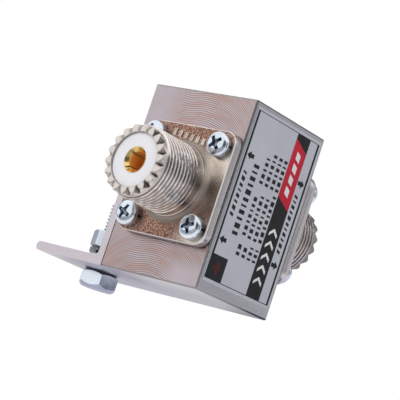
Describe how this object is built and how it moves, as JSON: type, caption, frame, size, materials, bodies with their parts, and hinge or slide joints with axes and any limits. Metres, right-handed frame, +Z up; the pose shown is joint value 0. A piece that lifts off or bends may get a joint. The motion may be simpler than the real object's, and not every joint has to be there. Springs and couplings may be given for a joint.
{
  "type": "coax lightning arrestor",
  "caption": "In-line coax lightning arrestor: milled aluminium block between two flanged threaded coax sockets, with a labelled side and a ground bracket with bolt, split washer and nut.",
  "frame": {"origin": "under the middle of the overall box, level with the underside of the ground bolt's head", "axes": "+Y along the coax line from the antenna socket to the equipment socket, +Z up along the ground bolt, +X out of the labelled face"},
  "size_m": [0.0476, 0.0574, 0.0454],
  "materials": {
    "milled_aluminium": "face-milled on the socket faces, smooth on the others",
    "bracket_aluminium": "plain extruded",
    "zinc_steel": "bright zinc plated",
    "nickel_brass": "nickel plated",
    "gold_brass": "gold plated",
    "white_insulator": "turned white fluoroplastic",
    "bare_copper": "bare copper rod",
    "plain_brass": "turned",
    "white_ceramic": "fired, unglazed",
    "tinned_metal": "tinned",
    "silver_label": "printed silver film"
  },
  "bodies": {
    "arrestor": {"body_block": "milled_aluminium", "ground_bracket": "bracket_aluminium", "bracket_screws": "zinc_steel", "bracket_lock_washers": "zinc_steel", "antenna_socket": "nickel_brass", "antenna_insulator": "white_insulator", "antenna_contact": "gold_brass", "antenna_screws": "zinc_steel", "antenna_lock_washers": "zinc_steel", "equipment_socket": "nickel_brass", "equipment_insulator": "white_insulator", "equipment_contact": "gold_brass", "equipment_screws": "zinc_steel", "equipment_lock_washers": "zinc_steel", "centre_conductor": "bare_copper", "tube_saddle": "plain_brass", "tube_ceramic": "white_ceramic", "tube_electrodes": "tinned_metal", "ground_seat": "plain_brass", "rating_label": "silver_label", "ground_bolt": "zinc_steel"},
    "lock_washer": {"ground_lock_washer": "zinc_steel"},
    "nut": {"ground_nut": "zinc_steel"}
  },
  "joints": [
    {"name": "washer_lift", "type": "slide", "parent": "arrestor", "child": "lock_washer", "axis": [0, 0, 1], "range_m": [0, 0.0064]},
    {"name": "nut_turn", "type": "hinge", "parent": "lock_washer", "child": "nut", "pos_m": [-0.0146, 0.0009, 0.01086], "axis": [0, 0, 1], "range_deg": [0, 2900]}
  ],
  "couplings": [
    {"joint": "nut_turn", "follows": "washer_lift", "rad_per_m": 7854}
  ]
}
